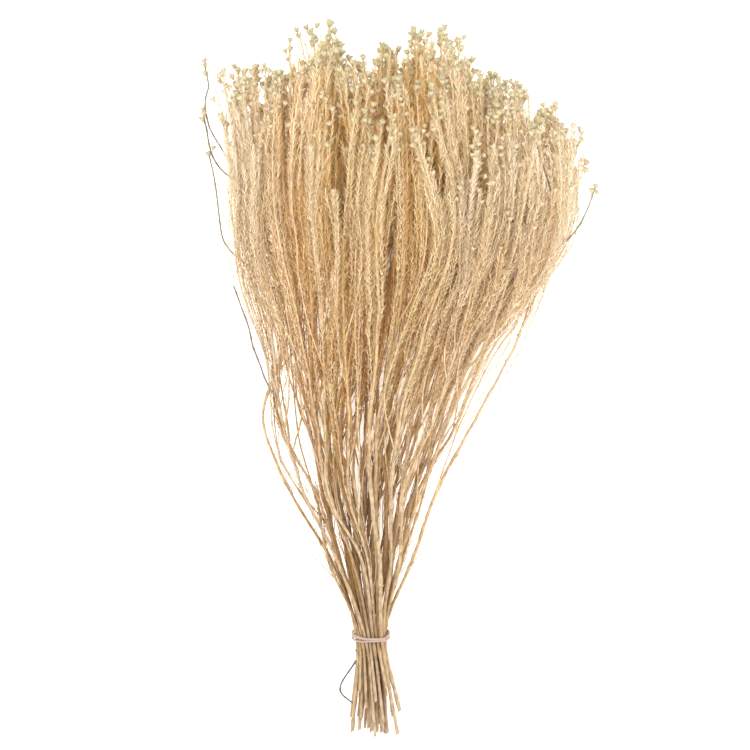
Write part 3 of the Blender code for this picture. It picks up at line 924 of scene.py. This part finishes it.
def coloured(tree, value, stops):
    """A value from 0 to 1 turned into a colour."""
    ramp = new_node(tree, "ValToRGB", Fac=value)
    elements = ramp.color_ramp.elements
    while len(elements) < len(stops):
        elements.new(0.5)
    for element, (at, colour) in zip(elements, stops):
        element.position = at
        element.color = (*colour, 1)
    return ramp.outputs["Color"]


def new_material(name):
    """An empty material, its node tree and its shader, and the place on the object."""
    made = bpy.data.materials.new(name)
    made.use_nodes = True
    tree = made.node_tree
    return made, tree, tree.nodes["Principled BSDF"], new_node(tree, "TexCoord").outputs["Object"]


def finish_surface(tree, shader, colour, relief, roughness, bump, depth=RELIEF):
    """Give a shader its colour, and a roughness and bumps that follow the relief."""
    feed(tree, shader.inputs["Base Color"], colour)
    feed(tree, shader.inputs["Roughness"], map_range(tree, relief, *roughness))
    raised = new_node(tree, "Bump", Height=relief, Strength=bump, Distance=depth)
    feed(tree, shader.inputs["Normal"], raised.outputs["Normal"])


def dry_material(name, stops, shade_colours, light, streaks, grain, bump, sides=(1.08, 0.75)):
    """A dry plant surface: its colour runs from cut end to flower tip and differs from bit to bit.

    Deep in the bunch and at the roots of its needle leaves it takes on painted shade colours, one for the
    cut ends and one for the tips. Light and streaks are the least and the most brightness of a bit and of
    a streak, and sides is the strength of the colour in the bunch's middle and at its sides.
    """
    made, tree, shader, place = new_material(name)
    height = new_node(tree, "SeparateXYZ", Vector=place).outputs["Y"]
    height = calculate(tree, "MULTIPLY_ADD", noise(tree, place, 16, 3), 0.22, height)
    share = new_node(tree, "MapRange", Value=height, From_Min=-0.19, From_Max=0.41).outputs["Result"]
    spray = noise(tree, place, SPRAY_GRAIN, 2)
    streak = noise(tree, place, grain, 4)
    streak = new_node(tree, "MapRange", Value=streak, From_Min=0.33, From_Max=0.67).outputs["Result"]
    bit = new_node(tree, "NewGeometry").outputs["Random Per Island"]
    few_dark = calculate(tree, "POWER", bit, 0.45)
    other = new_node(tree, "TexWhiteNoise", {"noise_dimensions": "1D"}, W=bit).outputs["Value"]
    aside = new_node(tree, "Attribute", {"attribute_name": "aside"}).outputs["Fac"]
    pale = new_node(tree, "Attribute", {"attribute_name": "pale"}).outputs["Fac"]
    pale = calculate(tree, "MULTIPLY", pale, map_range(tree, few_dark, 0.6, 1))
    low, high = ((*colour, 1) for colour in shade_colours)
    # The painted shade colour, mixed in where the pale attribute is below 1
    deep = new_node(tree, "MixRGB", Fac=share, Color1=low, Color2=high).outputs["Color"]
    base = new_node(tree, "MixRGB", Fac=pale, Color1=deep, Color2=coloured(tree, share, stops))
    value = calculate(tree, "MULTIPLY", map_range(tree, few_dark, *light), map_range(tree, streak, *streaks))
    strength = calculate(tree, "MULTIPLY", map_range(tree, spray, 1.2, 0.8), map_range(tree, aside, *sides))
    tint = new_node(
        tree,
        "HueSaturation",
        Hue=map_range(tree, other, 0.484, 0.518),
        Saturation=strength,
        Value=calculate(tree, "MULTIPLY", value, map_range(tree, spray, 0.88, 1.1)),
        Color=base.outputs["Color"],
    )
    finish_surface(tree, shader, tint.outputs["Color"], streak, DRY_ROUGHNESS, bump)
    shader.inputs["Specular IOR Level"].default_value = 0.3
    return made


def cut_material():
    """The pale pith and rings of a cut stem end."""
    made, tree, shader, place = new_material("cut_wood")
    rings = noise(tree, place, 1400, 5)
    colour = coloured(tree, rings, [(0, (0.36, 0.24, 0.14)), (1, (0.80, 0.66, 0.47))])
    finish_surface(tree, shader, colour, rings, (0.75, 0.95), 0.6)
    return made


def elastic_material():
    """Matt elastic, with the fine ribs of its covering threads."""
    made, tree, shader, place = new_material("elastic")
    bands = {"wave_type": "BANDS", "bands_direction": "DIAGONAL"}
    ribs = new_node(tree, "TexWave", bands, Vector=place, Scale=420, Distortion=3, Detail=2).outputs["Fac"]
    colour = coloured(tree, ribs, [(0, (0.33, 0.24, 0.19)), (1, (0.56, 0.43, 0.36))])
    finish_surface(tree, shader, colour, ribs, (0.7, 0.55), 0.5, 0.2 * MM)
    return made


def floor_material():
    """A pale, very slightly uneven table top, lit a little from below."""
    made, tree, shader, place = new_material("floor")
    cloud = noise(tree, place, 3, 2)
    colour = coloured(tree, cloud, [(0, (0.91, 0.88, 0.84)), (1, (0.95, 0.92, 0.88))])
    feed(tree, shader.inputs["Base Color"], colour)
    feed(tree, shader.inputs["Emission Color"], colour)
    shader.inputs["Roughness"].default_value = 0.9
    shader.inputs["Specular IOR Level"].default_value = 0.1
    shader.inputs["Emission Strength"].default_value = FLOOR_GLOW
    return made


# Putting the bunch together


def add_stubs(wood, line, radii, rng):
    """Short broken stubs of twigs on the bare part of a stem."""
    way = directions(line)
    side, up = across(way)
    for y in rng.uniform(*STUBS_AT, STUB_COUNT):
        i = int(np.searchsorted(line[:, 1], y))
        if i >= len(line) - 1 or abs(y - TIE_Y) < 1.2 * TIE_WIDTH:
            continue
        turn, splay = rng.uniform(0, math.tau), math.radians(rng.uniform(*STUB_SPLAY))
        out = side[i] * math.cos(turn) + up[i] * math.sin(turn)
        reach = radii[i] + rng.uniform(*STUB_LENGTH)
        tip = line[i] + (way[i] * math.cos(splay) + out * math.sin(splay)) * reach
        wood.tube([line[i], tip], STUB_RADII, 4)


def add_wood(wood, twig, trunk, stray, rng):
    """A twig's wood, and the small growth on it if it is a trunk. Gives the line that may have leaves."""
    line, radii = smooth_line(twig, STEM_STEP if trunk else STRAY_STEP if stray else BRANCH_STEP, rng)
    radii = radii * rng.uniform(*UNEVEN, len(radii))
    radii *= np.where(rng.uniform(0, 1, len(radii)) < SWOLLEN_SHARE, SWELLING, 1)
    radii *= THICKER_STRAY if stray else 1 - SLIMMER_AT_CUT * progress(line[:, 1], *SLIMMING)
    sides = STEM_SIDES if trunk else BRANCH_SIDES
    wood.tube(line, radii, sides, slant=trunk * rng.uniform(*CUT_SLANT), mark=2 * stray, end_mark=1)
    if not trunk:
        return line
    add_stubs(wood, line, radii, rng)
    for _ in range(BARE_COUNT):
        bare = bare_line(line, rng)
        if bare is not None:
            wood.tube(bare, np.linspace(*BARE_RADII, len(bare)), FINE_SIDES)
    add_leaves(wood, line[line[:, 1] < NUBS_TO], rng, NUB_SPACING, SMALL, NUBS_FROM)
    return line[line[:, 1] > LEAVES_FROM - 30 * MM]


def add_spray(wood, leaves, heads, line, rng):
    """The leaves along a line, the fine branchlets beside it, and the flower heads round their tips."""
    x, y, z = line[-1]
    high = y > crown(x, z) - FLOWERING
    add_leaves(leaves, line, rng)
    add_cluster(wood, heads, line, rng.integers(*HEADS_AT_TIP) if high else 0, rng)
    for _ in range(FINE_COUNT):
        fine = fine_line(line, rng)
        if fine is None:
            continue
        wood.tube(fine, np.linspace(FINE_RADIUS, 0.7 * FINE_RADIUS, len(fine)), FINE_SIDES)
        add_leaves(leaves, fine, rng)
        add_cluster(wood, heads, fine, rng.integers(*HEADS_AT_FINE_TIP) if high else 0, rng)


def dress_stem(stem, wood_look, cut_look, grey_look, leaf_look, head_look):
    """One stem's wood, needle leaves and flower heads."""
    rng = np.random.default_rng(stem.number + 1)
    tones = np.random.default_rng(1000 + stem.number)
    wood, leaves, heads = Shell(), Shell(), Shell()
    own_tone = tones.normal(0, SPRAY_TONES)
    for number, twig in enumerate(stem.twigs):
        wood.tone = leaves.tone = heads.tone = own_tone + tones.normal(0, SPRAY_TONES)
        stray = twig.radii[0] == STRAY_RADIUS
        line = add_wood(wood, twig, number == 0, stray, rng)
        if stray:
            add_leaves(leaves, line, rng, STRAY_SPACING, SMALL)
        if not twig.flowers:
            continue
        foot, mouth = twig.head().points
        way = mouth - foot
        add_head(heads, foot - HEAD_SUNK * way / HEAD_DEPTH, way, 1, rng)
        if stray:
            add_cluster(wood, heads, line, HEADS_AT_STRAY_TIP, rng)
        else:
            add_spray(wood, leaves, heads, line, rng)
    name = f"stem_{stem.number + 1:02d}"
    piece = wood.object(name + "_wood", [wood_look, cut_look, grey_look])
    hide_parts(name)
    leaves.object(name + "_leaves", [leaf_look], smooth=False)
    heads.object(name + "_heads", [head_look])
    return [sum(map(len, shell.triangles)) for shell in (wood, leaves, heads)]


def wind_tie(stems, look):
    """The elastic, wound three times round the stems."""
    slant = math.atan2(TIE_DROOP, middle_height(TIE_Y))
    corners = np.array([(x, 0, z) for x, _, z in tie_loop(stems, slant)])
    corners[:, 1] = TIE_Y - (corners[:, 2] - middle_height(TIE_Y)) * math.tan(slant)
    steps = WINDINGS * WINDING_STEPS
    turn = np.linspace(0, WINDINGS * TIE_SIDES, steps)
    i = np.floor(turn).astype(int)
    part = (turn - i)[:, None]
    line = corners[i % TIE_SIDES] * (1 - part) + corners[(i + 1) % TIE_SIDES] * part
    for _ in range(3):
        line[1:-1] = (line[:-2] + 2 * line[1:-1] + line[2:]) / 4
    offset = np.linspace(-1, 1, steps) * WINDINGS_APART
    offset += STRAND_WAVE * np.sin(np.linspace(0, WINDINGS * math.tau, steps) * WAVES_A_WINDING)
    line += np.array([0, math.cos(slant), math.sin(slant)]) * offset[:, None]
    shell = Shell()
    shell.tube(line, STRAND_RADIUS, STRAND_SIDES, reference=(0, 1, 0))
    piece = shell.object("tie_elastic", [look])
    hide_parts("tie")


def area_light(name, place, target, size, power, colour):
    """A soft square light at place, aimed at target."""
    lamp = bpy.data.lights.new(name, "AREA")
    lamp.size, lamp.energy, lamp.color = size, power, colour
    light = bpy.data.objects.new(name, lamp)
    light.location = place
    light.rotation_euler = (Vector(target) - Vector(place)).to_track_quat("-Z", "Y").to_euler()
    bpy.context.scene.collection.objects.link(light)


def make_studio():
    """The table top, the lights and the camera."""
    mesh = bpy.data.meshes.new("floor")
    corners = [(x * FLOOR_REACH, y * FLOOR_REACH, 0) for x, y in ((-1, -1), (1, -1), (1, 1), (-1, 1))]
    mesh.from_pydata(corners, [], [(0, 1, 2, 3)])
    mesh.materials.append(floor_material())
    floor = bpy.data.objects.new("floor", mesh)
    bpy.context.scene.collection.objects.link(floor)
    world = bpy.data.worlds.new("studio")
    world.use_nodes = True
    world.node_tree.nodes["Background"].inputs["Color"].default_value = SKY_COLOUR
    world.node_tree.nodes["Background"].inputs["Strength"].default_value = SKY_STRENGTH
    bpy.context.scene.world = world
    area_light("key", (-0.6, 0.5, 2.5), (0, 0.05, 0.05), 1.5, 27, (1, 0.985, 0.96))
    area_light("fill", (1.2, -0.8, 2.0), (0, 0, 0.05), 1.6, 13, (1, 1, 1))
    camera = bpy.data.cameras.new("camera")
    camera.sensor_width = SENSOR
    camera.lens = SENSOR * (CAMERA_HEIGHT - VIEW_HEIGHT) / PHOTO_WIDTH
    camera.clip_end = 20
    eye = bpy.data.objects.new("camera", camera)
    eye.location = (*PHOTO_CENTRE, CAMERA_HEIGHT)
    bpy.context.scene.collection.objects.link(eye)
    bpy.context.scene.camera = eye
    bpy.context.scene.view_settings.view_transform = "Standard"


def main():
    """Light the table, dress every stem and wind the tie."""
    make_studio()
    looks = [
        dry_material("dry_stem", STRAW, SHADE_WOOD, (0.62, 1.28), (0.72, 1.28), WOOD_GRAIN, 0.8),
        cut_material(),
        dry_material("grey_twig", GREY, SHADE_GREY, (0.7, 1.1), (0.7, 1.25), WOOD_GRAIN, 0.5),
        dry_material("dry_leaf", LEAF, SHADE_LEAF, (0.88, 1.05), (0.92, 1.1), LEAF_GRAIN, 0.3),
        dry_material("dry_head", PETAL, SHADE_PETAL, (0.8, 1.12), (0.88, 1.12), LEAF_GRAIN, 0.4, (1.1, 1)),
    ]
    stems = grow()
    counts = np.array([dress_stem(stem, *looks) for stem in stems])
    wind_tie(stems, elastic_material())
    print("triangles of wood, leaves and heads:", counts.sum(axis=0), "most in one piece:", counts.max())


main()
